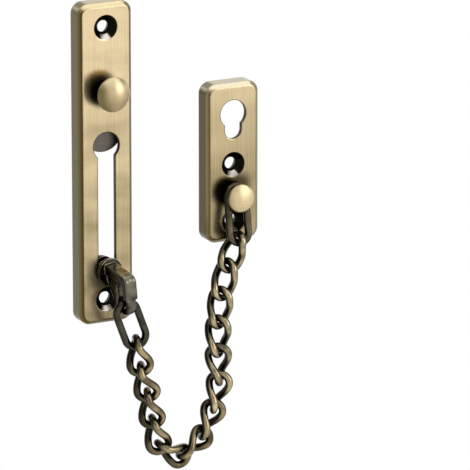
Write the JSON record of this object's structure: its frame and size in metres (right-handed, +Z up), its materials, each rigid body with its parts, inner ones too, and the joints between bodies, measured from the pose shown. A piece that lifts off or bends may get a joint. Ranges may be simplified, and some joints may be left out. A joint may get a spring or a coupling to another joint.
{
  "type": "door security chain",
  "caption": "Door security chain: slotted slide plate with push knob, sliding eye stud, twisted link chain and keyholed keeper plate with stud.",
  "frame": {"origin": "on the door plane, midway between the slide plate's two screw holes", "axes": "+X from the slide plate towards the keeper plate, -Y out of the door towards the user, +Z up"},
  "size_m": [0.0698, 0.0208, 0.1701],
  "materials": {
    "antique_brass": "brushed, lightly aged",
    "patina_brass": "dark patina, rubbed",
    "spring_steel": "dull"
  },
  "bodies": {
    "frame": {"slide_plate": "antique_brass", "keeper_plate": "antique_brass", "keeper_stud": "antique_brass"},
    "knob": {"release_knob": "antique_brass"},
    "leaf": {"latch_leaf": "spring_steel"},
    "slider": {"slider": "patina_brass"},
    "chain_link_15": {"chain_link_15": "patina_brass"},
    "chain_link_14": {"chain_link_14": "patina_brass"},
    "chain_link_13": {"chain_link_13": "patina_brass"},
    "chain_link_12": {"chain_link_12": "patina_brass"},
    "chain_link_11": {"chain_link_11": "patina_brass"},
    "chain_link_10": {"chain_link_10": "patina_brass"},
    "chain_link_09": {"chain_link_09": "patina_brass"},
    "chain_link_08": {"chain_link_08": "patina_brass"},
    "chain_link_07": {"chain_link_07": "patina_brass"},
    "chain_link_06": {"chain_link_06": "patina_brass"},
    "chain_link_05": {"chain_link_05": "patina_brass"},
    "chain_link_04": {"chain_link_04": "patina_brass"},
    "chain_link_03": {"chain_link_03": "patina_brass"},
    "chain_link_02": {"chain_link_02": "patina_brass"},
    "chain_link_01": {"chain_link_01": "patina_brass"}
  },
  "joints": [
    {"name": "slider_run", "type": "slide", "parent": "frame", "child": "slider", "axis": [0, 0, 1], "range_m": [0, 0.01]},
    {"name": "knob_press", "type": "slide", "parent": "frame", "child": "knob", "axis": [0, 1, 0], "range_m": [0, 0.0008], "stiffness_N_per_m": 800, "springref_m": -0.0004},
    {"name": "leaf_bend", "type": "hinge", "parent": "frame", "child": "leaf", "pos_m": [0, -0.0029, 0.0403], "axis": [1, 0, 0], "range_deg": [0, 3.3]},
    {"name": "link_turn_15", "type": "hinge", "parent": "frame", "child": "chain_link_15", "pos_m": [0.04928, -0.00924, -0.01705], "axis": [0, 1, 0], "range_deg": [-0.05, 1]},
    {"name": "link_turn_14", "type": "hinge", "parent": "chain_link_15", "child": "chain_link_14", "pos_m": [0.04905, -0.01181, -0.0303], "axis": [0, 1, 0], "range_deg": [-0.05, 2.27]},
    {"name": "link_turn_13", "type": "hinge", "parent": "chain_link_14", "child": "chain_link_13", "pos_m": [0.04386, -0.01215, -0.04253], "axis": [0, 1, 0], "range_deg": [-0.05, 3.08]},
    {"name": "link_turn_12", "type": "hinge", "parent": "chain_link_13", "child": "chain_link_12", "pos_m": [0.04136, -0.01241, -0.0524], "axis": [0, 1, 0], "range_deg": [-0.05, 2.86]},
    {"name": "link_turn_11", "type": "hinge", "parent": "chain_link_12", "child": "chain_link_11", "pos_m": [0.04021, -0.01267, -0.06256], "axis": [0, 1, 0], "range_deg": [-0.05, 2.43]},
    {"name": "link_turn_10", "type": "hinge", "parent": "chain_link_11", "child": "chain_link_10", "pos_m": [0.0401, -0.01293, -0.07287], "axis": [0, 1, 0], "range_deg": [-0.05, 1.7]},
    {"name": "link_turn_09", "type": "hinge", "parent": "chain_link_10", "child": "chain_link_09", "pos_m": [0.04042, -0.01319, -0.08321], "axis": [0, 1, 0], "range_deg": [-0.05, 1.17]},
    {"name": "link_turn_08", "type": "hinge", "parent": "chain_link_09", "child": "chain_link_08", "pos_m": [0.03784, -0.01345, -0.09313], "axis": [0, 1, 0], "range_deg": [-0.05, 2.89]},
    {"name": "link_turn_07", "type": "hinge", "parent": "chain_link_08", "child": "chain_link_07", "pos_m": [0.03308, -0.01371, -0.10227], "axis": [0, 1, 0], "range_deg": [-0.85, 0.05]},
    {"name": "link_turn_06", "type": "hinge", "parent": "chain_link_07", "child": "chain_link_06", "pos_m": [0.0245, -0.01397, -0.10799], "axis": [0, 1, 0], "range_deg": [-0.74, 0.05]},
    {"name": "link_turn_05", "type": "hinge", "parent": "chain_link_06", "child": "chain_link_05", "pos_m": [0.01595, -0.01423, -0.10216], "axis": [0, 1, 0], "range_deg": [-0.72, 0.05]},
    {"name": "link_turn_04", "type": "hinge", "parent": "chain_link_05", "child": "chain_link_04", "pos_m": [0.01333, -0.01449, -0.09212], "axis": [0, 1, 0], "range_deg": [-0.77, 0.05]},
    {"name": "link_turn_03", "type": "hinge", "parent": "chain_link_04", "child": "chain_link_03", "pos_m": [0.01125, -0.01476, -0.08197], "axis": [0, 1, 0], "range_deg": [-0.82, 0.05]},
    {"name": "link_turn_02", "type": "hinge", "parent": "chain_link_03", "child": "chain_link_02", "pos_m": [0.0085, -0.01502, -0.07197], "axis": [0, 1, 0], "range_deg": [-0.86, 0.05]},
    {"name": "link_turn_01", "type": "hinge", "parent": "chain_link_02", "child": "chain_link_01", "pos_m": [0.0069, -0.01528, -0.06174], "axis": [0, 1, 0], "range_deg": [-0.92, 0.05]}
  ],
  "couplings": [
    {"joint": "leaf_bend", "follows": "knob_press", "rad_per_m": 71.429},
    {"joint": "link_turn_15", "follows": "slider_run", "rad_per_m": 1.6571},
    {"joint": "link_turn_14", "follows": "slider_run", "rad_per_m": 3.8708},
    {"joint": "link_turn_13", "follows": "slider_run", "rad_per_m": 5.2847},
    {"joint": "link_turn_12", "follows": "slider_run", "rad_per_m": 4.8971},
    {"joint": "link_turn_11", "follows": "slider_run", "rad_per_m": 4.1501},
    {"joint": "link_turn_10", "follows": "slider_run", "rad_per_m": 2.8716},
    {"joint": "link_turn_09", "follows": "slider_run", "rad_per_m": 1.9402},
    {"joint": "link_turn_08", "follows": "slider_run", "rad_per_m": 4.9467},
    {"joint": "link_turn_07", "follows": "slider_run", "rad_per_m": -1.3916},
    {"joint": "link_turn_06", "follows": "slider_run", "rad_per_m": -1.2039},
    {"joint": "link_turn_05", "follows": "slider_run", "rad_per_m": -1.1577},
    {"joint": "link_turn_04", "follows": "slider_run", "rad_per_m": -1.2426},
    {"joint": "link_turn_03", "follows": "slider_run", "rad_per_m": -1.3345},
    {"joint": "link_turn_02", "follows": "slider_run", "rad_per_m": -1.4131},
    {"joint": "link_turn_01", "follows": "slider_run", "rad_per_m": -1.5085}
  ]
}
